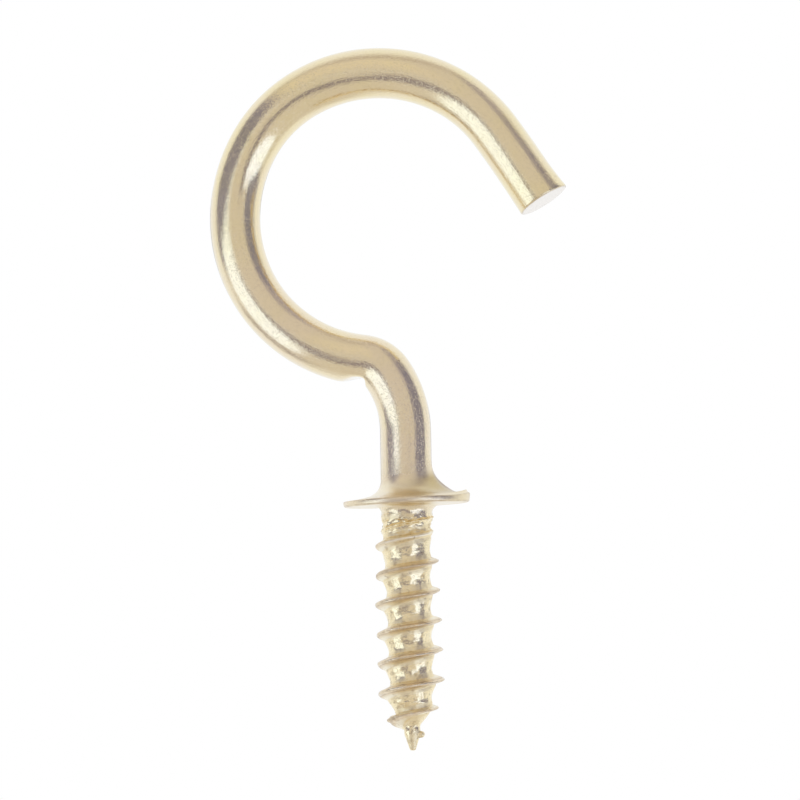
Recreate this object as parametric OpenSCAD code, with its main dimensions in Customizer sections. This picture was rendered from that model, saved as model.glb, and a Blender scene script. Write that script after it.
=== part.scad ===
// A cup hook: one length of drawn wire, bent to an open hook at the top,
// headed to a thin round collar in the middle and rolled to a wood-screw thread below.
// The seat of the collar lies in the plane z = 0, the screw runs down the z axis
// and the hook is bent in the plane y = 0, with its mouth on the +x side.

/* [Wire] */
// Diameter of the wire
wire_d = 2.8; // [2.2:0.1:3.2]
// Height above the seat at which the straight shank ends
shank_rise = 4.04; // [3:0.02:6]
// Edge break round the cut end of the wire
end_break = 0.12; // [0.05:0.01:0.3]

/* [Bends] */
// Turn of the easy bend that leads the shank off its axis
sweep_turn = 33; // [20:0.5:40]
// Centreline radius of the easy bend
sweep_r = 5.85; // [4.5:0.05:8]
// Turn of the sharp bend under the hook
neck_turn = 50; // [40:0.5:56]
// Centreline radius of the sharp bend
neck_r = 1.95; // [1.8:0.05:2.6]
// Turn of the hook's lower and outer part
ring_turn = 112.5; // [100:0.5:125]
// Centreline radius of the hook's lower and outer part
ring_r = 8.15; // [7:0.05:9.5]
// Turn of the tighter part before the crown
shoulder_turn = 35.5; // [25:0.5:45]
// Centreline radius of the tighter part before the crown
shoulder_r = 7.4; // [6.5:0.05:9]
// Turn of the crown
crown_turn = 80; // [60:0.5:90]
// Centreline radius of the crown
crown_r = 8.4; // [7:0.05:9.5]
// Turn of the nearly straight tail
tail_turn = 3.6; // [2:0.1:5]
// Centreline radius of the nearly straight tail
tail_r = 75; // [50:1:100]

/* [Collar] */
// Diameter of the collar
collar_d = 7; // [6.2:0.1:9]
// Thickness of the collar at its rim
rim_t = 0.36; // [0.3:0.01:0.8]
// Edge break of the rim, above and below
rim_break = 0.12; // [0.05:0.01:0.14]
// Rise of the collar's top from the rim in to the fillet
collar_rise = 0.15; // [0.05:0.01:0.25]
// Radius of the fillet between the shank and the collar's top
top_fillet_r = 1.2; // [0.6:0.05:1.3]
// Radius of the fillet between the seat and the plain neck
seat_fillet_r = 0.5; // [0.45:0.01:0.7]

/* [Screw] */
// Length of the screw below the seat
screw_len = 13.45; // [11:0.05:18]
// Length of the plain neck below the seat
plain_len = 0.66; // [0.6:0.02:1.2]
// Length over which the neck narrows to the core
runout_len = 1.6; // [1.2:0.1:2.4]
// Diameter of the core under the first full turn
core_top_d = 2.44; // [2.2:0.02:2.6]
// Diameter of the core above the point
core_end_d = 2.28; // [2:0.02:2.4]

/* [Thread] */
// Diameter over the thread's crests, at the first full turn
thread_d = 3.48; // [3.2:0.02:3.6]
// Diameter over the thread's crests, above the point
thread_end_d = 3.7; // [3.2:0.02:3.76]
// Distance from one crest to the next along the axis
pitch = 1.62; // [1.3:0.02:2]
// Width of the thread at its foot, inside the core
ridge_w = 1.25; // [0.9:0.05:1.5]
// Width of the thread halfway up its hollow flanks
flank_w = 0.56; // [0.4:0.02:0.7]
// Width of the thread's crest
crest_w = 0.16; // [0.06:0.01:0.24]
// Direction in which the thread leaves the neck, about the axis
thread_start = 190; // [0:5:355]
// Depth under the neck's surface at which the thread starts
start_depth = 0.35; // [0.2:0.05:0.5]

/* [Point] */
// Length of the gimlet point
point_len = 2.6; // [2.2:0.1:3.4]
// Length of the slim end of the point, below its waist
slim_len = 1.3; // [1:0.05:1.8]
// Diameter of the core at the waist
waist_d = 1.12; // [0.7:0.02:1.4]
// Diameter over the thread at the waist
waist_thread_d = 2.16; // [1.6:0.02:2.6]
// Length above the point over which the thread starts to taper
taper_lead = 0.56; // [0.1:0.02:0.9]
// Length of the bare tip below the thread
bare_len = 0.3; // [0.2:0.02:0.8]
// Diameter of the blunt tip
tip_d = 0.36; // [0.3:0.02:0.6]
// Edge break of the tip
tip_break = 0.1; // [0.05:0.01:0.14]

/* [Hidden] */
$fn = 96;
finish = "#D9C396";
cut_margin = 0.2;

wire_r = wire_d / 2;
bends = [
    [sweep_turn, sweep_r],
    [neck_turn, neck_r],
    [-ring_turn, ring_r],
    [-shoulder_turn, shoulder_r],
    [-crown_turn, crown_r],
    [-tail_turn, tail_r],
];

rim_r = collar_d / 2;
collar_top = rim_t + collar_rise;
collar_end = collar_top + top_fillet_r;
fillet_edge = wire_r + top_fillet_r;
seat_edge = wire_r + seat_fillet_r;

// Heights along the screw, from the tip up.
tip_z = -screw_len;
bare_z = tip_z + bare_len;
waist_z = tip_z + slim_len;
point_z = tip_z + point_len;
full_z = -plain_len - runout_len;
start_z = -plain_len;

// The thread fades out at this share of the core's radius.
fade_share = 0.85;
// Radius of the core, and of the thread's crest, at each height.
core_profile = [
    [tip_z + tip_break, tip_d / 2],
    [waist_z, waist_d / 2],
    [point_z, core_end_d / 2],
    [full_z, core_top_d / 2],
    [start_z, wire_r],
    [0, wire_r],
];
crest_profile = [
    [bare_z, fade_share * lookup(bare_z, core_profile)],
    [waist_z, waist_thread_d / 2],
    [point_z + taper_lead, thread_end_d / 2],
    [full_z, thread_d / 2],
    [start_z, wire_r - start_depth],
];
// Share of the thread's full width at each height: it narrows towards its end.
width_profile = [[bare_z, 0.25], [waist_z, 1]];
// The thread's foot lies at this share of the core's radius.
foot_share = 0.72;
steps_per_turn = 30;
thread_steps = ceil((start_z - bare_z) / pitch * steps_per_turn);

// Heading of the wire at the start of a bend, in degrees from the x axis.
function heading(i) = i == 0 ? 90 : heading(i - 1) + bends[i - 1][0];
function leftward(angle) = [-sin(angle), cos(angle)];
function arm(i) = sign(bends[i][0]) * bends[i][1];
// Each bend starts where the last one ends and goes on in the same direction.
function centre(i) = i == 0
    ? [0, shank_rise] + arm(0) * leftward(heading(0))
    : centre(i - 1) + (arm(i) - arm(i - 1)) * leftward(heading(i));
function wire_end() = let (last = len(bends) - 1)
    centre(last) - arm(last) * leftward(heading(last + 1));
function coarse(v) = [for (a = v) round(100 * a) / 100];

// Moves in a coarse and a fine step, which keeps the joint faces of the bends exactly together.
module place(v) {
    translate(coarse(v))
        translate(v - coarse(v))
            children();
}

module bend(i) {
    turn = bends[i][0];
    from = turn > 0 ? heading(i) - 90 : heading(i) + 90 + turn;
    place(centre(i))
        rotate_extrude(angle = abs(turn), start = from)
            translate([bends[i][1], 0])
                circle(r = wire_r);
}

// The bent wire is drawn flat, with the shank along y.
module bent_wire() {
    translate([0, collar_end, 0])
        rotate([-90, 0, 0])
            cylinder(r = wire_r, h = shank_rise - collar_end);
    for (i = [0 : len(bends) - 1])
        bend(i);
}

module end_cutter() {
    place(wire_end())
        rotate([0, 0, heading(len(bends))])
            rotate([0, 90, 0])
                rotate_extrude()
                    polygon([
                        [wire_r - end_break - cut_margin, cut_margin],
                        [wire_r + cut_margin, cut_margin],
                        [wire_r + cut_margin, -end_break - cut_margin],
                    ]);
}

module hook() {
    rotate([90, 0, 0])
        difference() {
            bent_wire();
            end_cutter();
        }
}

module collar_section() {
    polygon([
        [0, 0],
        [rim_r - rim_break, 0],
        [rim_r, rim_break],
        [rim_r, rim_t - rim_break],
        [rim_r - rim_break, rim_t],
        [fillet_edge, collar_top],
        [0, collar_top],
    ]);
    difference() {
        translate([0, rim_t])
            square([fillet_edge, collar_end - rim_t]);
        translate([fillet_edge, collar_end])
            circle(r = top_fillet_r);
    }
}

module seat_fillet_section() {
    difference() {
        translate([0, -seat_fillet_r])
            square([seat_edge, seat_fillet_r]);
        translate([seat_edge, -seat_fillet_r])
            circle(r = seat_fillet_r);
    }
}

module core_section() {
    polygon([
        for (p = core_profile) [p[1], p[0]],
        [0, 0],
        [0, tip_z],
        [tip_d / 2 - tip_break, tip_z],
    ]);
}

function foot_at(z) = foot_share * lookup(z, core_profile);

// The thread's section at one step down the helix: foot, hollow flank, crest and back.
function thread_ring(i) = let (
        z = start_z - pitch * i / steps_per_turn,
        angle = thread_start - 360 * i / steps_per_turn,
        half = lookup(z, width_profile) / 2,
        rises = half * [ridge_w, flank_w, crest_w],
        crest = lookup(z, crest_profile),
        flank = (foot_at(z) + crest) / 2,
        upper = [[foot_at(z + rises[0]), rises[0]], [flank, rises[1]], [crest, rises[2]]],
        lower = [[crest, -rises[2]], [flank, -rises[1]], [foot_at(z - rises[0]), -rises[0]]]
    )
    [for (p = concat(upper, lower)) [p[0] * cos(angle), p[0] * sin(angle), z + p[1]]];

// The thread is one ridge, carried down a helix and sunk into the core.
module thread() {
    rings = [for (i = [0 : thread_steps]) thread_ring(i)];
    sides = len(rings[0]);
    points = [for (ring = rings) each ring];
    walls = [
        for (i = [0 : thread_steps - 1], k = [0 : sides - 1])
            let (a = sides * i + k, b = sides * i + (k + 1) % sides)
                each [[a, b, a + sides], [b, b + sides, a + sides]]
    ];
    first = [for (k = [sides - 1 : -1 : 0]) k];
    last = [for (k = [0 : sides - 1]) sides * thread_steps + k];
    polyhedron(points, concat(walls, [first, last]));
}

module cup_hook() {
    color(finish) {
        hook();
        rotate_extrude() collar_section();
        rotate_extrude() seat_fillet_section();
        rotate_extrude() core_section();
        thread();
    }
}

cup_hook();
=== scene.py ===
"""A cup hook of bright plated wire, with its collar and rolled wood screw, on a pale stage."""
import math
from types import SimpleNamespace

import bpy
import numpy as np
from bpy.props import (
    FloatProperty,
    FloatVectorProperty,
    IntProperty,
    PointerProperty,
)
from mathutils import Matrix, Vector


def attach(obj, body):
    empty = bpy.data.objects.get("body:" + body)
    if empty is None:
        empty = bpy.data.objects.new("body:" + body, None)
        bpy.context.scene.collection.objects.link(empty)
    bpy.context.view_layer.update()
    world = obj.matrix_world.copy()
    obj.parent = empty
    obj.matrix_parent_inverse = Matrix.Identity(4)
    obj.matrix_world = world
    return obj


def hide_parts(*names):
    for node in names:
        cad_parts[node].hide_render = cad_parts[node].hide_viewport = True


bl_info = {
    "name": "Cup Hook",
    "version": (1, 0, 0),
    "blender": (4, 5, 0),
    "location": "View3D > Sidebar > Cup Hook",
    "description": "Builds a plated cup hook with its collar and screw, and a plain stage for it",
    "category": "Add Mesh",
}

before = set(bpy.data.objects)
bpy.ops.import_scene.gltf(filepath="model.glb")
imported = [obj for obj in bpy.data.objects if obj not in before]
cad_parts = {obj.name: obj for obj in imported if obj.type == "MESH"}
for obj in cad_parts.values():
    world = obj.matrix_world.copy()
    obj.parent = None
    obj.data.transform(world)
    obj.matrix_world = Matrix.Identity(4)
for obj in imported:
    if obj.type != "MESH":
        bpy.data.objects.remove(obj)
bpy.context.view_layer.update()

MM = 0.001
TURN = 2 * math.pi

# Directions round the axis: the picture's right and left sides, the camera's side, the side of the
# collar's flare that carries painted shade and a painted dark line, and the outer side of the bent
# wire.
RIGHT_SIDE = math.radians(11)
LEFT_SIDE = math.radians(191)
CAMERA_SIDE = math.radians(-79)
PAINTED_SHADE_SIDE = math.radians(-4)
OUTER_SIDE = math.pi

# The thread fades out at one share of the core's radius, its foot lies at another, and it narrows
# to a last share of its width at its end.
FADE_SHARE = 0.85
FOOT_SHARE = 0.72
END_WIDTH = 0.25

# Spacing of the rings down the screw, and of the points from which the wire's path is summed up.
SCREW_STEP = 0.03
PATH_STEP = 0.01


def length(name, description, millimetres):
    """A length property, given in millimetres and kept in metres."""
    return FloatProperty(
        name=name,
        description=description,
        default=millimetres * MM,
        min=0.0,
        precision=5,
        unit="LENGTH",
    )


def rotation(name, description, degrees):
    """An angle property, given in degrees and kept in radians."""
    return FloatProperty(
        name=name, description=description, default=math.radians(degrees), subtype="ANGLE"
    )


def slope(name, description, rise):
    """A slope property: the rise over a length of one."""
    return FloatProperty(name=name, description=description, default=rise, precision=4)


def tone(name, description, colour):
    """A colour property, in linear red, green and blue."""
    return FloatVectorProperty(
        name=name,
        description=description,
        default=colour,
        size=3,
        min=0.0,
        max=2.0,
        subtype="COLOR",
    )


class CupHookSizes(bpy.types.PropertyGroup):
    """Sizes of the wire, its bends, the collar and the screw."""

    wire_d: length("Wire", "Diameter of the wire", 2.8)
    shank_rise: length("Shank rise", "Height above the seat at which the shank ends", 4.04)
    end_break: length("End break", "Edge break round the cut end of the wire", 0.12)
    bend_turns: FloatVectorProperty(
        name="Bend turns",
        description="Turn of the sweep, neck, ring, shoulder, crown and tail, left positive",
        default=[math.radians(a) for a in (33, 50, -112.5, -35.5, -80, -3.6)],
        size=6,
        unit="ROTATION",
    )
    bend_radii: FloatVectorProperty(
        name="Bend radii",
        description="Centreline radius of the sweep, neck, ring, shoulder, crown and tail",
        default=[r * MM for r in (5.85, 1.95, 8.15, 7.4, 8.4, 75)],
        size=6,
        precision=5,
        unit="LENGTH",
    )
    bend_ease: length("Bend ease", "Length over which one bend runs into the next", 0.9)
    collar_d: length("Collar", "Diameter of the collar", 7.0)
    rim_t: length("Rim", "Thickness of the collar at its rim", 0.36)
    rim_break: length("Rim break", "Edge break of the rim", 0.12)
    collar_rise: length("Collar rise", "Rise of the collar's top from the rim in", 0.15)
    top_fillet: length("Top fillet", "Fillet between the shank and the collar", 1.2)
    seat_fillet: length("Seat fillet", "Fillet between the seat and the neck", 0.5)
    screw_len: length("Screw", "Length of the screw below the seat", 13.45)
    plain_len: length("Plain neck", "Length of the plain neck below the seat", 0.66)
    runout_len: length("Run-out", "Length over which the neck narrows to the core", 1.6)
    core_top_d: length("Core top", "Diameter of the core under the first full turn", 2.44)
    core_end_d: length("Core end", "Diameter of the core above the point", 2.28)
    thread_d: length("Thread", "Diameter over the crests at the first full turn", 3.48)
    thread_end_d: length("Thread end", "Diameter over the crests above the point", 3.7)
    pitch: length("Pitch", "Distance from one crest to the next", 1.62)
    ridge_w: length("Ridge foot", "Width of the thread at its foot", 1.25)
    flank_w: length("Ridge flank", "Width of the thread halfway up", 0.56)
    crest_w: length("Ridge crest", "Width of the thread's crest", 0.16)
    thread_start: rotation("Thread start", "Direction in which the thread leaves the neck", 190)
    start_depth: length("Start depth", "Depth at which the thread starts", 0.35)
    point_len: length("Point", "Length of the gimlet point", 2.6)
    slim_len: length("Slim end", "Length of the point below its waist", 1.3)
    waist_d: length("Waist core", "Diameter of the core at the waist", 1.12)
    waist_thread_d: length("Waist thread", "Diameter over the thread at the waist", 2.16)
    taper_lead: length("Taper lead", "Length over which the thread starts to taper", 0.56)
    bare_len: length("Bare tip", "Length of the tip below the thread", 0.3)
    tip_d: length("Tip", "Diameter of the blunt tip", 0.36)
    tip_break: length("Tip break", "Edge break of the tip", 0.1)
    sides: IntProperty(
        name="Sides", description="Points round the wire", default=128, min=24, max=160
    )


class CupHookFlaws(bpy.types.PropertyGroup):
    """Forming flaws of this hook, on top of its clean sizes."""

    tilt_left: slope("Tilt, left", "Fall of the collar to the left", 0.033)
    tilt_front: slope("Tilt, front", "Fall of the collar to the front", 0.024)
    bow: slope("Bow", "Lean of the screw to the right", 0.0145)
    rim_draft: slope("Rim draft", "Lean of the collar's rim", 0.14)
    flash: length("Flash", "Height of the line of flash on the collar's fillet", 0.1)
    lip: length("Lip", "Rise of the collar's edge on the right", 0.2)
    rim_thinner: length("Thinner rim", "Loss of the collar's thickness on the left", 0.07)
    fillet_wider: length("Wider fillet", "Gain of the top fillet on the right", 0.7)
    fillet_narrower: length("Narrower fillet", "Loss of the top fillet on the left", 0.35)
    bend_press: length("Pressed bend", "Depth of the flat inside the sharp bend", 0.37)
    end_spread: length("End spread", "Spread of the wire's end on its outer side", 0.13)
    blister: length("Blister", "Height of the blister on the wire", 0.06)
    last_turn_lift: length("Last turn", "Lift of the thread's last turn", 0.17)
    waist_pinch: length("Waist pinch", "Loss of the core's radius at the waist", 0.13)
    ridge_drop: length("Ridge drop", "Loss of the thread's height below the waist", 0.22)
    half_mark: length("Half marks", "Height of the marks between the first turns", 0.13)
    hollow_swell: length("Swollen hollows", "Swelling of the thread's hollows", 0.18)
    neck_ripple: length("Neck ripple", "Ripple of the core at the run-out", 0.03)
    knob_d: length("Knob", "Diameter of the knob by the tip", 0.37)
    knob_out: length("Knob place", "Distance of the knob from the axis", 0.5)
    knob_drop: length("Knob drop", "Depth of the knob below the waist", 0.435)
    drawn_lines: length("Drawn lines", "Unevenness in long lines on the wire", 0.0025)
    drawn_waves: length("Drawn waves", "Unevenness in wide waves on the wire", 0.004)
    rolled_grain: length("Rolled grain", "Fine unevenness of the screw", 0.006)
    rolled_dents: length("Rolled dents", "Wide unevenness of the screw", 0.016)
    crest_waves: length("Crest waves", "Unevenness of the crests", 0.02)
    torn_crest: length("Torn crest", "Unevenness of the last crest", 0.05)
    crumple: length("Crumple", "Unevenness of the run-out", 0.017)


class CupHookFinish(bpy.types.PropertyGroup):
    """Colours of the plated metal; one of them is painted shade on the collar's flare."""

    plate: tone("Plate", "Bright plating on the wire", (0.85, 0.708, 0.498))
    plate_deep: tone("Plate, deep", "Thicker, warmer plating", (0.862, 0.725, 0.43))
    # Painted shade: darker yellow on the right of the collar's flare.
    painted_flare_shade: tone("Plate, pooled", "Yellow plating in the collar's fillet", (0.46, 0.32, 0.09))
    screw: tone("Screw", "Rolled metal in the thread's hollows", (0.935, 0.785, 0.49))
    # Partly the paler tone of the rolled flanks and partly painted light that lifts the shade at
    # the ridges' feet; on the collar this colour is painted light.
    flank: tone("Flank", "Rolled metal on the thread's flanks", (0.97, 0.88, 0.68))
    cut_end: tone("Cut end", "Sheared end of the wire", (0.885, 0.80, 0.69))
    # Also the colour of a painted dark line along the collar's flare.
    tarnish_and_painted_line: tone("Tarnish", "Brown stain along edges", (0.42, 0.30, 0.17))


class CupHookStudio(bpy.types.PropertyGroup):
    """Place of the camera and colours of the stage."""

    azimuth: rotation("Azimuth", "Direction of the camera round the hook", 11)
    elevation: rotation("Elevation", "Height of the camera as an angle", -5)
    roll: rotation("Roll", "Lean of the camera about its own axis", 0.81)
    distance: length("Distance", "Distance of the camera", 240)
    target: FloatVectorProperty(
        name="Target",
        description="Point at the middle of the picture",
        default=(-0.29 * MM, 0.0, 5.806 * MM),
        size=3,
        precision=5,
        subtype="TRANSLATION",
    )
    focal: FloatProperty(
        name="Focal length", description="Focal length in millimetres", default=196.0
    )
    floor_drop: length("Floor drop", "Depth of the floor below the tip", 6.0)
    floor: tone("Floor", "Colour of the floor", (0.86, 0.86, 0.85))


def millimetres(group):
    """The values of a property group as plain numbers, with lengths in millimetres."""
    values = {}
    for key, rna in group.bl_rna.properties.items():
        if key in {"rna_type", "name"}:
            continue
        scale = 1 / MM if getattr(rna, "unit", "NONE") == "LENGTH" else 1
        value = getattr(group, key)
        many = getattr(rna, "is_array", False)
        values[key] = np.array(value) * scale if many else value * scale
    return SimpleNamespace(**values)


def smooth_max(a, b, width):
    """The greater of a and b, with the corner between them filled by a parabola of that width."""
    near = np.clip(1 - np.abs(a - b) / width, 0, None)
    return np.maximum(a, b) + width / 4 * near**2


def share(values, start, stretch):
    """How far values have come along a stretch: zero at its start, one at its end and past it."""
    return np.clip((values - start) / stretch, 0, 1)


def bell(values, middle, reach, power=2):
    """One in the middle, and falling to nothing past the reach, faster for a higher power."""
    return np.exp(-(((values - middle) / reach) ** power))


def turned_from(theta, direction):
    """Angle from a direction round the axis, within half a turn either way."""
    return (theta - direction + math.pi) % TURN - math.pi


def towards(theta, direction, power):
    """One in a direction round the axis, falling as a power of the cosine to zero at its sides."""
    return np.clip(np.cos(theta - direction), 0, 1) ** power


def waves(points, wavelength, seed, count):
    """Uneven field: the sum of plane waves in seeded directions, of about one wavelength along
    each axis, scaled to a unit spread."""
    rng = np.random.default_rng(seed)
    heading = rng.normal(size=(count, 3))
    heading /= np.linalg.norm(heading, axis=1, keepdims=True)
    heading *= TURN / rng.uniform(0.6, 1.6, (count, 1)) / np.broadcast_to(wavelength, 3)
    phase = rng.uniform(0, TURN, count)
    return np.sin(points @ heading.T + phase).sum(-1) * math.sqrt(2 / count)


def arc(centre, radius, start, end, count):
    """Points of circular arcs in the half-plane of radius and height, angles in degrees: one arc
    for each direction round the axis."""
    angle = np.radians(np.linspace(start, end, count))[:, None]
    return np.stack(
        [centre[0] + radius * np.cos(angle), centre[1] + radius * np.sin(angle)], -1
    )


def line(start, end, count):
    """Evenly spaced points from start towards end, without the last one, in each direction."""
    share = np.linspace(0, 1, count, endpoint=False)[:, None]
    parts = [a * (1 - share) + b * share for a, b in zip(start, end)]
    return np.stack(np.broadcast_arrays(*parts), -1)


def screw_profiles(size):
    """Named heights along the screw, and the core's and the crest's radius from the tip up."""
    tip = -size.screw_len
    start = -size.plain_len
    full = start - size.runout_len
    waist = tip + size.slim_len
    point = tip + size.point_len
    bare = tip + size.bare_len
    core_d = ("tip_d", "waist_d", "core_end_d", "core_top_d", "wire_d", "wire_d")
    core_z = [tip + size.tip_break, waist, point, full, start, 0]
    core_r = np.array([getattr(size, key) for key in core_d]) / 2
    crest_z = [bare, waist, point + size.taper_lead, full, start]
    crest_r = [
        FADE_SHARE * np.interp(bare, core_z, core_r),
        size.waist_thread_d / 2,
        size.thread_end_d / 2,
        size.thread_d / 2,
        size.wire_d / 2 - size.start_depth,
    ]
    heights = SimpleNamespace(bare=bare, waist=waist, point=point, start=start)
    return heights, (core_z, core_r), (crest_z, crest_r)


def between_crests(turns, shift):
    """Zero on a crest and one halfway to the next, moved by a share of a turn."""
    return 0.5 - 0.5 * np.cos(TURN * (turns + shift))


def thread_ridge(size, flaw, theta, off, middle):
    """Radius of the thread's ridge and of its crest: two straight flanks that meet halfway up at
    a bend, capped by a parabola that is sharper to the right. The middle is the height of the
    crest, and off is how far a place lies above it."""
    at, core_at, crest_at = screw_profiles(size)
    foot = FOOT_SHARE * np.interp(middle, *core_at)
    crest = np.interp(middle, *crest_at)
    crest = crest - flaw.ridge_drop * share(middle, at.waist - 0.05, -0.3)
    flank = (foot + crest) / 2
    aside = np.abs(off) / np.interp(middle, [at.bare, at.waist], [END_WIDTH, 1])
    half = np.array([size.crest_w, size.flank_w, size.ridge_w]) / 2
    upper = crest + (flank - crest) * (aside - half[0]) / (half[1] - half[0])
    lower = flank + (foot - flank) * (aside - half[1]) / (half[2] - half[1])
    side = np.where(aside < half[1], upper, lower)
    sharpness = 0.75 + 0.4 * np.cos(theta - RIGHT_SIDE)
    cap = crest - sharpness * aside**2 / half[0]
    ridge = -smooth_max(-side, -cap, 0.4 * half[0])
    return np.where(middle > at.start + size.pitch / 2, 0, ridge), crest


def tip_knob(flaw, theta, below_waist):
    """Radius of a small ball that stands out beside the tip, where the axis sees it, or zero."""
    out = flaw.knob_out
    within = (flaw.knob_d / 2) ** 2 - (below_waist - flaw.knob_drop) ** 2
    within = within - (out * np.sin(theta)) ** 2
    ball = out * np.cos(theta) + np.sqrt(np.clip(within, 0, None))
    return np.where((within > 0) & (np.cos(theta) > 0), ball, 0)


def screw_radius(size, flaw, theta, z):
    """Radius of the screw at an angle and a height: the core's profile, smoothly joined with a
    ridge whose middle goes down one pitch a turn, with marks halfway between the first turns and
    with a knob by the tip. Also how far up the ridge a place lies, and how far from the crests."""
    at, core_at, _ = screw_profiles(size)
    pitch, waist, start = size.pitch, at.waist, at.start
    mark_blend, ridge_blend, knob_blend = 0.06, 0.2, 0.05
    lift = flaw.last_turn_lift * share(z, at.point - 0.1, -0.6)
    turns = (z - lift - start) / pitch - (theta - size.thread_start) / TURN
    off = (np.mod(turns + 0.5, 1) - 0.5) * pitch
    core = np.interp(z, *core_at) - flaw.waist_pinch * bell(z, waist + 0.06, 0.28)
    ridge, crest = thread_ridge(size, flaw, theta, off, z - off)

    early = bell(z, start - 0.5, 0.6, 4)
    off_mark = np.abs(np.mod(turns, 1) - 0.5) * pitch
    mark = core + flaw.half_mark * early - 1.1 * off_mark
    swell = flaw.hollow_swell * share(crest - core, 0, 0.6) * share(z, waist, 1.6)
    swell = swell * (1 - between_crests(turns, 0.11))
    swell = swell + flaw.neck_ripple * early * np.cos(2 * TURN * turns)
    radius = smooth_max(smooth_max(core + swell, mark, mark_blend), ridge, ridge_blend)
    radius = smooth_max(radius, tip_knob(flaw, theta, waist - z), knob_blend)
    proud = share(ridge - core, 0, (size.thread_d - size.core_end_d) / 2)
    return radius, proud, between_crests(turns, -0.03)


def collar_profile(size, fillet):
    """Radius and height along the collar, from the neck up to the shank: seat fillet, seat, round
    rim, sloping top and the wide fillet that flares out of the shank, whose radius is given for
    each direction round the axis."""
    wire_r = size.wire_d / 2
    rim_r = size.collar_d / 2
    rim_t, rim_break = size.rim_t, size.rim_break
    top = rim_t + size.collar_rise
    seat_edge = wire_r + size.seat_fillet
    flare = wire_r + fillet
    inset = rim_r - rim_break
    parts = [
        arc((seat_edge, -size.seat_fillet), size.seat_fillet, 180, 90, 9)[:-1],
        line((seat_edge, 0), (inset, 0), 8),
        arc((inset, rim_break), rim_break, -90, 0, 5),
        arc((inset, rim_t - rim_break), rim_break, 0, 90, 5),
        line((inset, rim_t), (flare, top), 8)[1:],
        arc((flare, top + fillet), fillet, 270, 180, 17),
    ]
    return np.concatenate([np.broadcast_to(p, (len(p), len(fillet), 2)) for p in parts])


def collar_lean(flaw, r, theta):
    """How far the collar stands off its true place along the axis, in three parts: a slight tilt,
    lower to the front and left; for its top, a thin line of flash less what the left rim has
    lost; and a small upturned lip on the right."""
    tilt = flaw.tilt_left * np.cos(theta - LEFT_SIDE)
    tilt = tilt + flaw.tilt_front * np.cos(theta - CAMERA_SIDE)
    flash = flaw.flash * bell(turned_from(theta, RIGHT_SIDE), 0, 0.07) * bell(r, 1.98, 0.48)
    thinner = flaw.rim_thinner * towards(theta, LEFT_SIDE, 2) * share(r, 2.0, 1.0)
    lip = flaw.lip * towards(theta, RIGHT_SIDE, 8) * share(r, 2.9, 0.4)
    return -tilt * r * share(r, 1.45, 0.9), flash - thinner, lip


def wire_path(size):
    """The bent wire's centreline: curvature is constant in each bend and eased from one to the
    next, heading is its running sum, and place is the running sum of the heading."""
    turns, radii = size.bend_turns, size.bend_radii
    first = size.collar_rise + size.rim_t + size.top_fillet
    spans = np.abs(turns) * radii
    joints = np.concatenate([[0], np.cumsum([size.shank_rise - first, *spans])])
    step = PATH_STEP
    s = np.arange(0, joints[-1] + step / 2, step)
    bend = np.searchsorted(joints, s + step / 2, side="right") - 1
    signed = np.concatenate([[0], np.sign(turns) / radii, [0]])
    curvature = signed[np.clip(bend, 0, len(signed) - 2)]
    window = np.hanning(round(size.bend_ease / step) | 1)
    reach = len(window) // 2
    padded = np.pad(curvature, reach, mode="edge")
    curvature = np.convolve(padded, window / window.sum(), mode="valid")
    heading = math.pi / 2 + np.concatenate([[0], np.cumsum(curvature[:-1]) * step])
    middle = heading + curvature * step / 2
    x = np.concatenate([[0], np.cumsum(np.cos(middle[:-1])) * step])
    z = first + np.concatenate([[0], np.cumsum(np.sin(middle[:-1])) * step])
    return s, x, z, heading, curvature


def wire_rows(s, curvature):
    """Places along the wire for the rings: closer together where the wire bends harder."""
    density = 4.0 + 12.0 * np.clip(np.abs(curvature) - 0.14, 0, None)
    count = np.concatenate([[0], np.cumsum(density[:-1] * np.diff(s))])
    return np.interp(np.linspace(0, count[-1], round(count[-1])), count, s)


def hook_rings(size):
    """The rings from the tip to the cut end: the place, heading and plain radius of each, its
    place along the wire from the seat, and which rings belong to which part of the hook."""
    wire_r, tip = size.wire_d / 2, -size.screw_len
    tip_break, end_break = size.tip_break, size.end_break
    tip_z = tip + tip_break * np.array([0, 0.3, 0.65])
    tip_r = size.tip_d / 2 - tip_break * np.array([1, 0.45, 0.12])
    screw_z = np.arange(tip + tip_break, -size.seat_fillet - 0.02, SCREW_STEP)
    collar = collar_profile(size, np.array([size.top_fillet]))[:, 0]

    s, x, z, heading, curvature = wire_path(size)
    end = s[-1]
    rows = wire_rows(s, curvature)
    rows = rows[(rows > 0.8) & (rows < end - end_break - 0.02)]
    edge = np.radians(np.linspace(0, 90, 7))
    edge_s = end - end_break * (1 - np.sin(edge))
    edge_r = wire_r - end_break * (1 - np.cos(edge))
    face_r = edge_r[-1] * np.array([0.93, 0.8, 0.6, 0.4, 0.2])
    wire_s = np.concatenate([rows, edge_s, np.full(len(face_r), end)])

    axis_z = np.concatenate([tip_z, screw_z, collar[:, 1]])
    axis_r = np.concatenate([tip_r, np.zeros(len(screw_z)), collar[:, 0]])
    upright = np.full(len(axis_z), math.pi / 2)
    stops = np.cumsum([len(tip_z), len(screw_z), len(collar)])
    return SimpleNamespace(
        x=np.concatenate([np.zeros(len(axis_z)), np.interp(wire_s, s, x)]),
        z=np.concatenate([axis_z, np.interp(wire_s, s, z)]),
        heading=np.concatenate([upright, np.interp(wire_s, s, heading)]),
        radius=np.concatenate([axis_r, np.full(len(rows), wire_r), edge_r, face_r]),
        along=np.concatenate([axis_z, collar[-1, 1] + wire_s]),
        screw=slice(stops[0], stops[1]),
        collar=slice(stops[1], stops[2]),
        wire=slice(stops[2], None),
        end_edge=slice(-len(face_r) - 5, -len(face_r)),
    )


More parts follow.
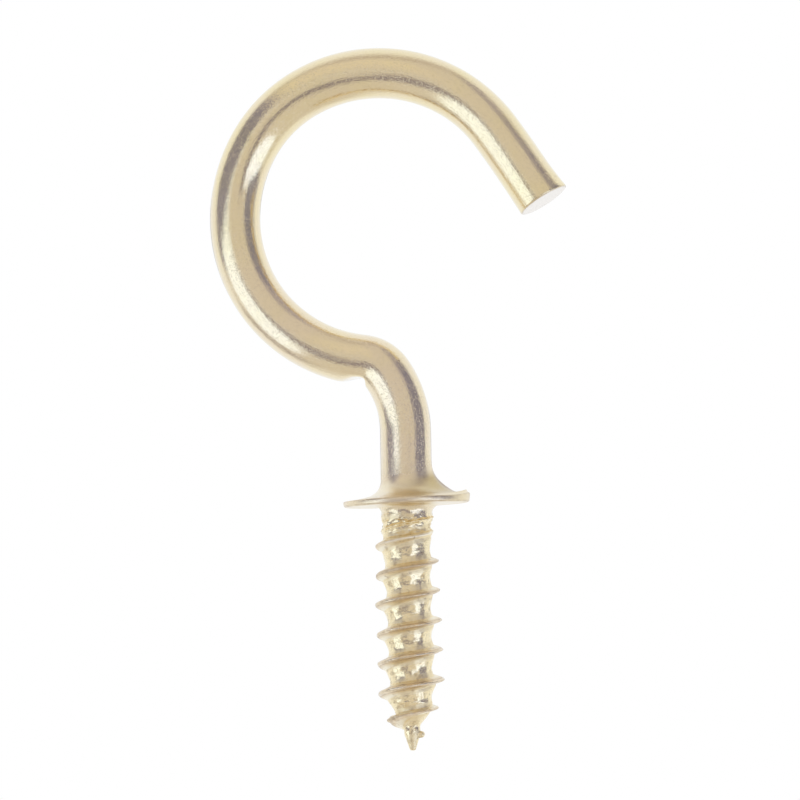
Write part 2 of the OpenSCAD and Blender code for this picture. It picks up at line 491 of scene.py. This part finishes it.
def formed_rings(size, flaw, rings, theta):
    """Radius and offset along the heading for each angle round each ring: the thread, the leaning
    collar, the flat pressed into the sharp bend, the spread end and a blister. Also how far up
    the thread's ridge a place lies, and how far from its crests."""
    wire_r = size.wire_d / 2
    along, plain_r = rings.along[:, None], rings.radius[:, None]
    screw, collar, wire = rings.screw, rings.collar, rings.wire
    radius = np.repeat(plain_r, len(theta), axis=1)
    offset, proud, hollow = np.zeros((3, *radius.shape))
    radius[screw], proud[screw], hollow[screw] = screw_radius(
        size, flaw, theta[None, :], along[screw]
    )

    uneven = flaw.fillet_wider * towards(theta, RIGHT_SIDE, 2)
    uneven = uneven - flaw.fillet_narrower * towards(theta, LEFT_SIDE, 2)
    flared = collar_profile(size, size.top_fillet + uneven)
    flared_r, flared_z = flared[..., 0], flared[..., 1]
    true_z = along[collar]
    lean, top, lip = collar_lean(flaw, flared_r, theta)
    lean = lean + top * share(true_z, 0.3, 0.1) + lip * share(true_z, 0.08, 0.2)
    offset[collar] = lean + flared_z - true_z
    draft = flaw.rim_draft * np.clip(size.rim_t - flared_z, 0, None)
    radius[collar] = flared_r - draft * share(flared_r, 3.3, 0.08)

    clear = 0.15
    pressed = (clear + flaw.bend_press) * bell(along[wire], 8.86, 1.05, 4)
    flat = (wire_r + clear - pressed) / np.clip(-np.cos(theta), 0.3, 1)
    radius[wire] = -smooth_max(-radius[wire], -flat, 0.15)
    spread = share(along, along[-1] - 2.0, 2.0) ** 2 * towards(theta, OUTER_SIDE, 4)
    radius += flaw.end_spread * spread * (plain_r / wire_r)
    radius += flaw.blister * bell(along, 28.45, 0.2) * bell(theta, OUTER_SIDE, 0.1)
    return radius, offset, proud, hollow


def surface_zones(size, rings, radius, theta):
    """Zones of the surface for its finish, each from zero to one: the screw, the cut end, edges
    discoloured brown, the scuffed outer side by the end, painted light on the collar away from its
    rim, the worked collar, and a painted dark line and painted shade on the right of the collar's
    flare."""
    along, plain_r = rings.along[:, None], rings.radius[:, None]
    collar = rings.collar
    on_end = share(along, along[-1] - size.end_break, size.end_break)
    scuffed = share(along, along[-1] - 2.0, 2.0) ** 2 * towards(theta, OUTER_SIDE, 2)
    edge_line = np.zeros_like(along)
    edge_line[collar][17:25, 0] = (0.5, 1, 0.5, 0, 0, 0.5, 1, 0.5)
    edge_line[rings.end_edge, 0] = (0.4, 1, 1, 0.7, 0.2)

    aside = turned_from(theta, PAINTED_SHADE_SIDE)
    on_flare = share(plain_r[collar], 1.42, 0.1) * (along[collar] > 0.3)
    on_flare = on_flare * share(radius[collar], 3.3, -0.4)
    # Painted marks on the right of the collar's flare: a thin painted dark line, a painted
    # reflection, and a wide painted shade.
    stained, gilded = np.zeros((2, *radius.shape))
    stained[collar] = bell(aside, 0.17, 0.13) * on_flare
    gilded[collar] = 0.75 * bell(aside, 0, 1.0) * on_flare
    # Painted light: the collar is made paler away from its rim, over its fillets, seat and top.
    pale = share(along, -0.2, 0.4) * share(along, 1.5, -0.6) * share(plain_r, 2.9, -0.4)
    zones = {
        "on_screw": share(along, -0.35, -0.5),
        "on_end": on_end,
        "edge_line": edge_line,
        "scuffed": scuffed * (1 - on_end),
        "on_collar": 0.6 * pale * (1 - gilded),
        "worked": share(along, -0.4, 0.3) * share(along, 2.8, -1.3),
        "stained": stained,
        "gilded": gilded,
    }
    return {name: np.broadcast_to(values, radius.shape) for name, values in zones.items()}


# Unevenness from forming: wavelength along each axis in millimetres, seed and number of waves.
UNEVENNESS = {
    "drawn_lines": ((0.9, 0.9, 9.0), 11, 24),
    "drawn_waves": ((2.0, 2.0, 5.0), 12, 24),
    "rolled_grain": ((0.36, 0.36, 0.4), 21, 40),
    "rolled_dents": ((1.3, 1.3, 1.1), 22, 24),
    "crest_waves": ((1.6, 1.6, 2.2), 24, 24),
    "torn_crest": ((0.3, 0.3, 0.4), 25, 40),
    "crumple": ((0.3, 0.3, 0.26), 26, 40),
}


def roughness_of_forming(flaw, straight, radius, zones):
    """Unevenness added to the radius: long lines and waves on the drawn wire, and dents, wavy
    crests, a torn last turn and a crumpled run-out on the screw, less where the screw is thin."""
    along = straight[..., 2]
    uneven = {
        key: getattr(flaw, key) * waves(straight, *kind) for key, kind in UNEVENNESS.items()
    }
    drawn = uneven["drawn_lines"] + uneven["drawn_waves"]
    torn = uneven["torn_crest"] * share(along, -11.0, -0.5)
    crests = zones["proud"] * (uneven["crest_waves"] + torn)
    crumpled = uneven["crumple"] * bell(along, -1.2, 0.6, 4)
    rolled = uneven["rolled_grain"] + uneven["rolled_dents"] + crumpled
    thin = np.clip(radius / 0.9, 0.15, 1)
    on_wire = share(along, 0.9, 0.8) * (1 - zones["on_end"])
    return on_wire * drawn + zones["on_screw"] * thin * (rolled + crests)


def hook_surface(size, flaw):
    """The whole hook as one grid of closed rings. Each ring stands square to the centreline at a
    place and heading, with a radius and an offset along the heading for each angle round it. Also
    the two poles, the unbent place of each point, and the zones of the surface."""
    theta = np.arange(size.sides) * TURN / size.sides
    rings = hook_rings(size)
    radius, offset, proud, hollow = formed_rings(size, flaw, rings, theta)
    zones = surface_zones(size, rings, radius, theta)
    zones |= {"proud": proud, "hollow": hollow}
    along = np.repeat(rings.along[:, None], len(theta), axis=1)
    straight = np.stack([radius * np.cos(theta), radius * np.sin(theta), along], -1)
    radius = radius + roughness_of_forming(flaw, straight, radius, zones)

    heading = rings.heading
    level = np.zeros_like(heading)
    across = np.stack([np.sin(heading), level, -np.cos(heading)], -1)
    ahead = np.stack([np.cos(heading), level, np.sin(heading)], -1)
    place = np.stack([rings.x, level, rings.z], -1)
    points = (
        place[:, None]
        + (radius * np.cos(theta))[..., None] * across[:, None]
        + (radius * np.sin(theta))[..., None] * np.array([0.0, 1.0, 0.0])
        + offset[..., None] * ahead[:, None]
    )
    to_right = np.array([math.cos(RIGHT_SIDE), math.sin(RIGHT_SIDE), 0.0])
    bow = flaw.bow * np.clip(-rings.along - 3.0, 0, None)[:, None] * to_right
    points += bow[:, None]
    lowest = np.array([0, 0, -size.screw_len]) + bow[0]
    return points, (lowest, place[-1]), straight, zones


def closed_grid(name, points, first_pole, last_pole):
    """A mesh of closed rings of points, each ring joined to the next, with a pole at either end."""
    count, sides = points.shape[:2]
    index = np.arange(count * sides).reshape(count, sides)
    following = np.roll(index, -1, axis=1)
    quads = np.stack(
        [index[:-1], following[:-1], following[1:], index[1:]], -1
    ).reshape(-1, 4)
    poles = count * sides + np.arange(2)
    first = np.stack([np.full(sides, poles[0]), following[0], index[0]], -1)
    last = np.stack([index[-1], following[-1], np.full(sides, poles[1])], -1)
    places = np.concatenate([points.reshape(-1, 3), [first_pole], [last_pole]]) * MM
    loops = np.concatenate([quads.ravel(), first.ravel(), last.ravel()])
    corners = np.concatenate([np.full(len(quads), 4), np.full(2 * sides, 3)])
    starts = np.concatenate([[0], np.cumsum(corners)[:-1]])
    mesh = bpy.data.meshes.new(name)
    mesh.vertices.add(len(places))
    mesh.vertices.foreach_set("co", places.ravel().astype(np.float32))
    mesh.loops.add(len(loops))
    mesh.loops.foreach_set("vertex_index", loops.astype(np.int32))
    mesh.polygons.add(len(corners))
    mesh.polygons.foreach_set("loop_start", starts.astype(np.int32))
    mesh.update(calc_edges=True)
    if mesh.validate(verbose=False):
        raise RuntimeError(name + " has faulty faces")
    mesh.polygons.foreach_set("use_smooth", np.ones(len(corners), dtype=bool))
    return mesh


def add_fields(mesh, straight, fields):
    """Keeps the unbent place and the zones of the surface as point attributes, poles included."""
    vector = np.concatenate([straight.reshape(-1, 3), straight[[0, -1]].mean(1)])
    layer = mesh.attributes.new("straight", "FLOAT_VECTOR", "POINT")
    layer.data.foreach_set("vector", vector.ravel().astype(np.float32))
    for name, values in fields.items():
        flat = np.concatenate([values.ravel(), values[[0, -1]].mean(1)])
        layer = mesh.attributes.new(name, "FLOAT", "POINT")
        layer.data.foreach_set("value", flat.astype(np.float32))


class NodeTable:
    """A short way to add nodes to a tree and link them."""

    def __init__(self, tree):
        self.tree = tree

    def add(self, kind, inputs=None, **settings):
        """Adds a node, sets its properties, then fills its inputs with values or links."""
        node = self.tree.nodes.new(kind)
        for key, value in settings.items():
            setattr(node, key, value)
        self.fill(node, inputs or {})
        return node

    def fill(self, node, inputs):
        """Links a node's inputs to sockets, or sets them to values."""
        for key, value in inputs.items():
            if isinstance(value, bpy.types.NodeSocket):
                self.tree.links.new(value, node.inputs[key])
            else:
                node.inputs[key].default_value = value

    def attribute(self, name, output="Fac"):
        """An attribute of the mesh."""
        return self.add("ShaderNodeAttribute", attribute_name=name).outputs[output]

    def maths(self, operation, *values):
        """A Math node's result."""
        node = self.add("ShaderNodeMath", dict(enumerate(values)), operation=operation)
        return node.outputs[0]

    def plus(self, a, b):
        """The sum of two values."""
        return self.maths("ADD", a, b)

    def times(self, a, b):
        """The product of two values."""
        return self.maths("MULTIPLY", a, b)

    def most(self, a, b):
        """The greater of two values."""
        return self.maths("MAXIMUM", a, b)

    def vector(self, operation, *values, output="Vector"):
        """A Vector Math node's result."""
        node = self.add("ShaderNodeVectorMath", dict(enumerate(values)), operation=operation)
        return node.outputs[output]

    def ramp(self, value, low, high, start=0.0, end=1.0, smooth=True):
        """Maps a value from low..high to start..end, clamped."""
        keys = ("Value", "From Min", "From Max", "To Min", "To Max")
        inputs = dict(zip(keys, (value, low, high, start, end)))
        kind = "SMOOTHSTEP" if smooth else "LINEAR"
        return self.add("ShaderNodeMapRange", inputs, interpolation_type=kind).outputs["Result"]

    def noise(self, vector, scale, detail=2.0, rough=0.5):
        """A noise texture's value."""
        inputs = {"Vector": vector, "Scale": scale, "Detail": detail, "Roughness": rough}
        return self.add("ShaderNodeTexNoise", inputs).outputs["Fac"]

    def mix(self, amount, a, b):
        """A mix of two colours, which are the node's sockets 6 and 7."""
        node = self.add("ShaderNodeMix", data_type="RGBA")
        self.fill(node, {0: amount, 6: a, 7: b})
        return node.outputs[2]


def opaque(colour):
    """A colour with full alpha."""
    return (*colour, 1.0)


# Zones of the surface that the finish reads from the mesh, among them painted light and painted
# shade on the collar.
ZONES = ("proud", "hollow", "on_screw", "on_end", "edge_line")
ZONES += ("scuffed", "on_collar", "worked", "stained", "gilded")


def fresh_nodes(block):
    """An empty node tree for a material or a world."""
    block.use_nodes = True
    block.node_tree.nodes.clear()
    return NodeTable(block.node_tree)


def metal_textures(nodes, straight):
    """Soft patches, grain, specks and glints in place, and lines and strokes along the wire."""
    place = nodes.add("ShaderNodeTexCoord").outputs["Object"]
    lines_at = nodes.vector("MULTIPLY", straight, (1.0, 1.0, 0.045))
    strokes_at = nodes.vector("MULTIPLY", straight, (1.0, 1.0, 0.2))
    return SimpleNamespace(
        patches=nodes.noise(place, 420.0, 3.0, 0.55),
        grain=nodes.noise(place, 2600.0, 3.0, 0.6),
        speckle=nodes.noise(place, 9000.0, 2.0, 0.7),
        glints=nodes.ramp(nodes.noise(place, 20000.0, 1.0), 0.58, 0.74),
        lines=nodes.noise(lines_at, 9.0, 4.0, 0.7),
        strokes=nodes.noise(strokes_at, 13.0, 2.0, 0.6),
    )


def metal_colour(nodes, finish, zone, texture, along):
    """Plating that deepens in patches and up the wire, rolled metal on the screw whose paler flanks
    are partly painted light, painted light that makes the collar paler away from its rim, painted
    shade on the right of the collar's flare, dull specks and the pale cut end."""
    patchy = nodes.ramp(texture.patches, 0.35, 0.7, 0.0, 0.5)
    depth = nodes.plus(patchy, nodes.ramp(along, 6.0, 28.0, 0.0, 0.5))
    colour = nodes.mix(depth, opaque(finish.plate), opaque(finish.plate_deep))
    # Paler flanks up the ridge: partly the rolled metal's tone and partly painted light against the
    # shade at the ridges' feet.
    low = nodes.ramp(zone.proud, 0.0, 0.2)
    rolled = nodes.mix(low, opaque(finish.screw), opaque(finish.flank))
    rolled = nodes.mix(nodes.ramp(zone.proud, 0.45, 0.8), rolled, opaque(finish.plate))
    colour = nodes.mix(zone.on_screw, colour, rolled)
    # Painted light: paler metal on the collar away from its rim.
    colour = nodes.mix(zone.on_collar, colour, opaque(finish.flank))
    # Painted shade: darker yellow on the right of the collar's flare.
    colour = nodes.mix(zone.gilded, colour, opaque(finish.painted_flare_shade))
    dull = nodes.times(texture.lines, nodes.ramp(texture.speckle, 0.5, 0.8, 0.0, 0.3))
    colour = nodes.mix(dull, colour, opaque(finish.tarnish_and_painted_line))
    return nodes.mix(nodes.ramp(zone.on_end, 0.6, 1.0), colour, opaque(finish.cut_end))


def metal_stain_and_painted_line(nodes, zone, grain, nose):
    """Brown discolouring below the thread's crests and along edges, broken up by the grain, in
    flecks on the scuffed end and in specks on the screw; and a painted dark line, a painted
    reflection, along the right of the collar's flare."""
    crests = nodes.times(zone.on_screw, nodes.ramp(zone.proud, 0.78, 0.9, 0.0, 0.7))
    crests = nodes.times(crests, nodes.ramp(nose, 0.0, 1.0, 1.0, 0.4))
    stain_and_painted_line = nodes.most(crests, nodes.times(zone.edge_line, 0.6))
    stain_and_painted_line = nodes.times(stain_and_painted_line, nodes.ramp(grain, 0.3, 0.7, 0.3, 1.0))
    scuffed = nodes.ramp(zone.scuffed, 0.2, 0.7)
    flecks = nodes.times(scuffed, nodes.ramp(grain, 0.6, 0.68, 0.0, 0.8))
    specks = nodes.times(zone.on_screw, nodes.ramp(grain, 0.56, 0.7, 0.0, 0.5))
    # The last term is the painted dark line along the collar's flare.
    return nodes.most(nodes.most(nodes.most(stain_and_painted_line, flecks), specks), zone.stained)


def metal_roughness(nodes, zone, lines, nose):
    """Bright along the drawn lines, duller in the thread's hollows, on the collar and the end."""
    in_hollow = nodes.ramp(zone.hollow, 0.45, 0.85, 0.38, 0.12)
    in_hollow = nodes.times(in_hollow, nodes.ramp(nose, 0.0, 1.0, 1.0, 0.35))
    rough = nodes.ramp(lines, 0.3, 0.75, 0.04, 0.08)
    rough = nodes.plus(rough, nodes.times(zone.on_screw, in_hollow))
    rough = nodes.plus(rough, nodes.times(zone.worked, 0.25))
    return nodes.plus(rough, nodes.times(zone.on_end, 0.3))


def metal_relief(nodes, zone, texture, along):
    """Fine relief: drawing lines on the wire, grain on the screw, specks and glints all over."""
    smooth_wire = nodes.maths("SUBTRACT", 1.0, zone.on_screw)
    strokes = nodes.times(texture.strokes, 0.9)
    drawn = nodes.maths("MULTIPLY_ADD", texture.lines, 0.6, strokes)
    relief = nodes.times(drawn, smooth_wire)
    relief = nodes.plus(relief, nodes.times(nodes.times(texture.grain, 2.6), zone.on_screw))
    relief = nodes.plus(relief, nodes.times(texture.speckle, 0.6))
    shank_grain = nodes.ramp(along, 5.0, 8.0, 1.5, 0.7)
    relief = nodes.plus(relief, nodes.times(texture.glints, shank_grain))
    inputs = {"Strength": 0.4, "Distance": 0.02 * MM, "Height": relief}
    return nodes.add("ShaderNodeBump", inputs).outputs["Normal"]


def plated_metal(finish):
    """Bright plated wire under a thin clear coat: tone drifts in soft patches, fine drawing lines
    follow the wire, the screw is rougher and yellower, edges are discoloured brown and the sheared
    end is pale. Painted light makes the collar paler away from its rim, and painted shade darkens
    the right of its flare, along which runs a painted dark line."""
    material = bpy.data.materials.new("plated_brass")
    nodes = fresh_nodes(material)
    straight = nodes.attribute("straight", "Vector")
    along = nodes.add("ShaderNodeSeparateXYZ", {"Vector": straight}).outputs["Z"]
    zone = SimpleNamespace(**{name: nodes.attribute(name) for name in ZONES})
    texture = metal_textures(nodes, straight)
    nose = nodes.ramp(zone.proud, 0.9, 0.98)
    stain_and_painted_line = metal_stain_and_painted_line(nodes, zone, texture.grain, nose)
    colour = metal_colour(nodes, finish, zone, texture, along)
    worn = nodes.most(zone.worked, zone.on_screw)
    shader = nodes.add(
        "ShaderNodeBsdfPrincipled",
        {
            "Base Color": nodes.mix(stain_and_painted_line, colour, opaque(finish.tarnish_and_painted_line)),
            "Metallic": nodes.ramp(stain_and_painted_line, 0.3, 1.0, 1.0, 0.35),
            "Roughness": metal_roughness(nodes, zone, texture.lines, nose),
            "Normal": metal_relief(nodes, zone, texture, along),
            "Coat Weight": nodes.ramp(worn, 0.0, 1.0, 0.6, 0.15),
            "Coat Roughness": 0.06,
            "Coat IOR": 1.5,
        },
    ).outputs["BSDF"]
    nodes.add("ShaderNodeOutputMaterial", {"Surface": shader})
    return material


def camera_axes(studio):
    """Right, up and back of the camera: the view turned and raised, then rolled about its axis."""
    a, e, r = studio.azimuth, studio.elevation, studio.roll
    back = Vector((math.sin(a) * math.cos(e), -math.cos(a) * math.cos(e), math.sin(e)))
    level = (-back).cross(Vector((0, 0, 1))).normalized()
    upright = level.cross(-back)
    right = level * math.cos(r) - upright * math.sin(r)
    up = level * math.sin(r) + upright * math.cos(r)
    return right, up, back


# Cards of the studio, as the bright metal sees them round the camera: place to the right and up,
# turn, half length and half width, all in degrees of arc, then the widening along the length, edge
# softness and colour.
STUDIO_CARDS = {
    "back left": (-167, 12, 86, 50, 8, 0.0, 0.35, (0.42, 0.405, 0.40)),
    "back right": (169, -10, 95, 46, 6, 0.0, 0.35, (0.48, 0.46, 0.45)),
    "pale card": (-31, 49, 158, 22, 15, -0.35, 0.4, (0.82, 0.78, 0.71)),
    "low card": (38, -79, 41, 53, 19, -0.28, 0.4, (0.73, 0.71, 0.70)),
    "top strip": (-4, 80, 18, 37, 7, 0.15, 0.4, (0.60, 0.56, 0.56)),
    "gap arm": (8.5, -2.5, 27, 15, 6.5, 0.0, 0.2, (0.305, 0.285, 0.355)),
    "gap right": (-7.5, -17, 66, 18, 7.5, 0.0, 0.2, (0.305, 0.285, 0.355)),
    "gap bottom": (-20, -27, 0, 18, 9, 0.0, 0.2, (0.315, 0.295, 0.365)),
    "gap left": (-32.5, -11, 95, 19, 7.5, 0.1, 0.2, (0.335, 0.315, 0.385)),
    "right flag top": (38, 60, 115, 26, 14, 0.0, 0.12, (0.45, 0.43, 0.52)),
    "right flag": (67, 18, 103, 45, 26, -0.05, 0.16, (0.265, 0.265, 0.385)),
    "upper left flag": (-57, 25, 158.5, 30, 21, 0.82, 0.16, (0.285, 0.282, 0.405)),
    "left flag edge": (-73, 3, 32, 25, 10, 0.0, 0.2, (0.27, 0.268, 0.395)),
    "lower left flag": (-74, -57, -35, 27, 9, -0.16, 0.35, (0.50, 0.48, 0.51)),
    "softbox horn": (-40, 9.8, 11, 14, 3.2, 0.0, 0.3, (1.14, 1.29, 1.50)),
    "left softbox": (-62.4, -17.4, 161.6, 21, 26.7, -0.42, 0.06, (1.22, 1.39, 1.65)),
    "right softbox": (45, -19.7, -35.4, 30.9, 14.1, 0.29, 0.08, (1.22, 1.40, 1.86)),
}

# The room itself: before the camera, behind it, at every matt surface and to the camera.
FRONT_TONE = (0.73, 0.705, 0.69)
BEHIND_TONE = (0.99, 1.035, 1.10)
MATT_TONE = (0.78, 0.78, 0.78)
WHITE = (1.0, 1.0, 1.0)
# The front gives way to the back over these degrees of arc from the camera.
FRONT_ENDS = (80.0, 108.0)
# A thin darker hem round the front: its centre, reach, half width, strength and colour.
HEM_CENTRE = (-4.0, -9.0, 0.0)
HEM_REACH = 92.0
HEM_HALF = 5.0
HEM_STRENGTH = 0.5
HEM_TONE = (0.40, 0.34, 0.30)


def card_group():
    """Node group for one card: how far a place lies inside a turned, soft-edged, rounded oblong."""
    group = bpy.data.node_groups.new("studio_card", "ShaderNodeTree")
    face = group.interface
    for name in ("Place", "Centre", "Turn", "Half"):
        face.new_socket(name, in_out="INPUT", socket_type="NodeSocketVector")
    for name in ("Widening", "Softness"):
        face.new_socket(name, in_out="INPUT", socket_type="NodeSocketFloat")
    face.new_socket("Mask", in_out="OUTPUT", socket_type="NodeSocketFloat")
    nodes = NodeTable(group)
    given = nodes.add("NodeGroupInput").outputs
    keys = {"Vector": "Place", "Location": "Centre", "Rotation": "Turn", "Scale": "Half"}
    inputs = {key: given[name] for key, name in keys.items()}
    inside = nodes.add("ShaderNodeMapping", inputs, vector_type="TEXTURE").outputs["Vector"]
    parts = nodes.add("ShaderNodeSeparateXYZ", {"Vector": inside}).outputs
    along = nodes.ramp(parts["X"], -1.0, 1.0, -1.0, 1.0, smooth=False)
    wide = nodes.maths("MULTIPLY_ADD", along, given["Widening"], 1.0)
    sides = (parts["X"], nodes.maths("DIVIDE", parts["Y"], wide))
    powers = [nodes.maths("POWER", nodes.maths("ABSOLUTE", side), 3.0) for side in sides]
    reach = nodes.maths("POWER", nodes.maths("ADD", *powers), 1 / 3)
    inner = nodes.maths("SUBTRACT", 1.0, given["Softness"])
    outer = nodes.maths("ADD", 1.0, given["Softness"])
    nodes.add("NodeGroupOutput", {"Mask": nodes.ramp(reach, inner, outer, 1.0, 0.0)})
    return group


def studio_world(studio):
    """White to the camera, a white studio with soft grey and white cards to bright metal, and one
    plain level to everything else. A card's place is the arc from the camera's own direction."""
    right, up, back = camera_axes(studio)
    world = bpy.data.worlds.new("studio")
    nodes = fresh_nodes(world)
    direction = nodes.add("ShaderNodeTexCoord").outputs["Generated"]
    forward, x, y = (
        nodes.vector("DOT_PRODUCT", direction, axis, output="Value") for axis in (back, right, up)
    )
    away = nodes.times(nodes.maths("ARCCOSINE", forward), math.degrees(1))
    flat = nodes.add("ShaderNodeCombineXYZ", {"X": x, "Y": y, "Z": 0.0}).outputs["Vector"]
    flat = nodes.vector("NORMALIZE", flat)
    place = nodes.add(
        "ShaderNodeVectorMath", {0: flat, "Scale": away}, operation="SCALE"
    ).outputs["Vector"]

    seen = nodes.mix(nodes.ramp(away, *FRONT_ENDS), opaque(FRONT_TONE), opaque(BEHIND_TONE))
    off_hem = nodes.vector("DISTANCE", place, HEM_CENTRE, output="Value")
    rise = nodes.ramp(off_hem, HEM_REACH - HEM_HALF, HEM_REACH)
    fall = nodes.ramp(off_hem, HEM_REACH, HEM_REACH + HEM_HALF, HEM_STRENGTH, 0.0)
    seen = nodes.mix(nodes.times(rise, fall), seen, opaque(HEM_TONE))
    group = card_group()
    for name, (cx, cy, turn, half_x, half_y, widen, soft, colour) in STUDIO_CARDS.items():
        inputs = {
            "Place": place,
            "Centre": (cx, cy, 0),
            "Turn": (0, 0, math.radians(turn)),
            "Half": (half_x, half_y, 1),
            "Widening": widen,
            "Softness": soft,
        }
        card = nodes.add("ShaderNodeGroup", inputs, node_tree=group, label=name)
        seen = nodes.mix(card.outputs["Mask"], seen, opaque(colour))

    path = nodes.add("ShaderNodeLightPath").outputs
    mirrored = nodes.most(path["Is Glossy Ray"], path["Is Transmission Ray"])
    level = nodes.mix(mirrored, opaque(MATT_TONE), seen)
    level = nodes.mix(path["Is Camera Ray"], level, opaque(WHITE))
    shine = nodes.add("ShaderNodeBackground", {"Color": level, "Strength": 1.0})
    nodes.add("ShaderNodeOutputWorld", {"Surface": shine.outputs["Background"]})
    world.cycles.sampling_method = "NONE"
    bpy.context.scene.world = world


def floor_disc(radius, height):
    """A flat disc as rings of points: radius grows with the square of the ring's number."""
    rings, sides = 24, 96
    r = radius * (np.arange(1, rings + 1) / rings) ** 2
    angle = np.arange(sides) * TURN / sides
    flat = r[:, None, None] * np.stack([np.cos(angle), np.sin(angle)], -1)
    points = np.concatenate([flat, np.full((rings, sides, 1), height)], -1)
    index = np.arange(rings * sides).reshape(rings, sides)
    following = np.roll(index, -1, axis=1)
    quads = np.stack([index[:-1], index[1:], following[1:], following[:-1]], -1)
    centre = np.stack([np.full(sides, rings * sides), index[0], following[0]], -1)
    mesh = bpy.data.meshes.new("floor")
    vertices = np.concatenate([points.reshape(-1, 3), [[0, 0, height]]])
    faces = quads.reshape(-1, 4).tolist() + centre.tolist()
    mesh.from_pydata(vertices.tolist(), [], faces)
    mesh.update()
    return mesh


def floor_finish(studio, radius):
    """Pale matt floor that fades out towards its edge."""
    material = bpy.data.materials.new("pale_floor")
    nodes = fresh_nodes(material)
    place = nodes.add("ShaderNodeTexCoord").outputs["Object"]
    reach = nodes.vector("LENGTH", place, output="Value")
    speckle = nodes.ramp(nodes.noise(place, 900.0, 2.0), 0.3, 0.7, 0.0, 0.04)
    pale = nodes.mix(speckle, opaque(studio.floor), opaque((0.8, 0.8, 0.8)))
    matt = nodes.add("ShaderNodeBsdfDiffuse", {"Color": pale}).outputs["BSDF"]
    clear = nodes.add("ShaderNodeBsdfTransparent").outputs["BSDF"]
    fade = nodes.ramp(reach, 0.45 * radius, 0.97 * radius)
    mixed = nodes.add("ShaderNodeMixShader", {0: fade, 1: matt, 2: clear}).outputs["Shader"]
    nodes.add("ShaderNodeOutputMaterial", {"Surface": mixed})
    return material


# Radius of the floor; place, width and power of the lamp; and the camera's film and near and far
# limits. Metres, watts and, for the film, millimetres.
FLOOR_RADIUS = 0.45
LAMP_PLACE = (-0.18, -0.22, 0.42)
LAMP_WIDTH = 0.3
LAMP_POWER = 1.2
FILM_WIDTH = 36.0
NEAR, FAR = 0.005, 10.0


class CUPHOOK_OT_hook(bpy.types.Operator):
    """Build the hook, its collar and its screw as one closed surface"""

    bl_idname = "cup_hook.hook"
    bl_label = "Cup Hook"
    bl_options = {"REGISTER", "UNDO"}

    def execute(self, context):
        size = millimetres(context.scene.cup_hook_sizes)
        flaw = millimetres(context.scene.cup_hook_flaws)
        points, poles, straight, zones = hook_surface(size, flaw)
        mesh = closed_grid("hook_body", points, *poles)
        add_fields(mesh, straight, {name: zones[name] for name in ZONES})
        mesh.materials.append(plated_metal(context.scene.cup_hook_finish))
        hook = bpy.data.objects.new("hook_body", mesh)
        context.scene.collection.objects.link(hook)
        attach(hook, "root")
        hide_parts("cup_hook")
        return {"FINISHED"}


class CUPHOOK_OT_stage(bpy.types.Operator):
    """Set up the pale floor, the soft light and the camera"""

    bl_idname = "cup_hook.stage"
    bl_label = "Stage"
    bl_options = {"REGISTER", "UNDO"}

    def execute(self, context):
        scene = context.scene
        studio = scene.cup_hook_studio
        scene.view_settings.view_transform = "Standard"
        studio_world(studio)

        height = -scene.cup_hook_sizes.screw_len - studio.floor_drop
        floor = bpy.data.objects.new("floor", floor_disc(FLOOR_RADIUS, height))
        floor.data.materials.append(floor_finish(studio, FLOOR_RADIUS))
        floor.visible_glossy = False
        scene.collection.objects.link(floor)

        lamp_data = bpy.data.lights.new("soft_lamp", "AREA")
        lamp_data.shape = "DISK"
        lamp_data.size = LAMP_WIDTH
        lamp_data.energy = LAMP_POWER
        lamp = bpy.data.objects.new("soft_lamp", lamp_data)
        lamp.location = LAMP_PLACE
        lamp.rotation_euler = (-lamp.location).to_track_quat("-Z", "Y").to_euler()
        lamp.visible_glossy = False
        scene.collection.objects.link(lamp)

        right, up, back = camera_axes(studio)
        lens = bpy.data.cameras.new("camera")
        lens.lens = studio.focal
        lens.sensor_width = FILM_WIDTH
        lens.clip_start, lens.clip_end = NEAR, FAR
        camera = bpy.data.objects.new("camera", lens)
        axes = Matrix((right, up, back)).transposed().to_4x4()
        axes.translation = Vector(studio.target) + back * studio.distance
        camera.matrix_world = axes
        scene.collection.objects.link(camera)
        scene.camera = camera
        return {"FINISHED"}


class CUPHOOK_PT_sidebar(bpy.types.Panel):
    """Lists the builders and the values they read"""

    bl_label = "Cup Hook"
    bl_idname = "CUPHOOK_PT_sidebar"
    bl_space_type = "VIEW_3D"
    bl_region_type = "UI"
    bl_category = "Cup Hook"

    def draw(self, context):
        column = self.layout.column()
        column.operator(CUPHOOK_OT_hook.bl_idname)
        column.operator(CUPHOOK_OT_stage.bl_idname)
        for key in GROUPS:
            group = getattr(context.scene, key)
            box = self.layout.box()
            for value in group.__annotations__:
                box.prop(group, value)


GROUPS = {
    "cup_hook_sizes": CupHookSizes,
    "cup_hook_flaws": CupHookFlaws,
    "cup_hook_finish": CupHookFinish,
    "cup_hook_studio": CupHookStudio,
}
CLASSES = (*GROUPS.values(), CUPHOOK_OT_hook, CUPHOOK_OT_stage, CUPHOOK_PT_sidebar)


def register():
    """Adds the classes, and one set of values of each group to the scene."""
    for cls in CLASSES:
        bpy.utils.register_class(cls)
    for key, cls in GROUPS.items():
        setattr(bpy.types.Scene, key, PointerProperty(type=cls))


def unregister():
    """Takes away what register added, in reverse."""
    for key in reversed(GROUPS):
        delattr(bpy.types.Scene, key)
    for cls in reversed(CLASSES):
        bpy.utils.unregister_class(cls)


def main():
    register()
    bpy.ops.cup_hook.hook()
    bpy.ops.cup_hook.stage()


if __name__ == "__main__":
    main()
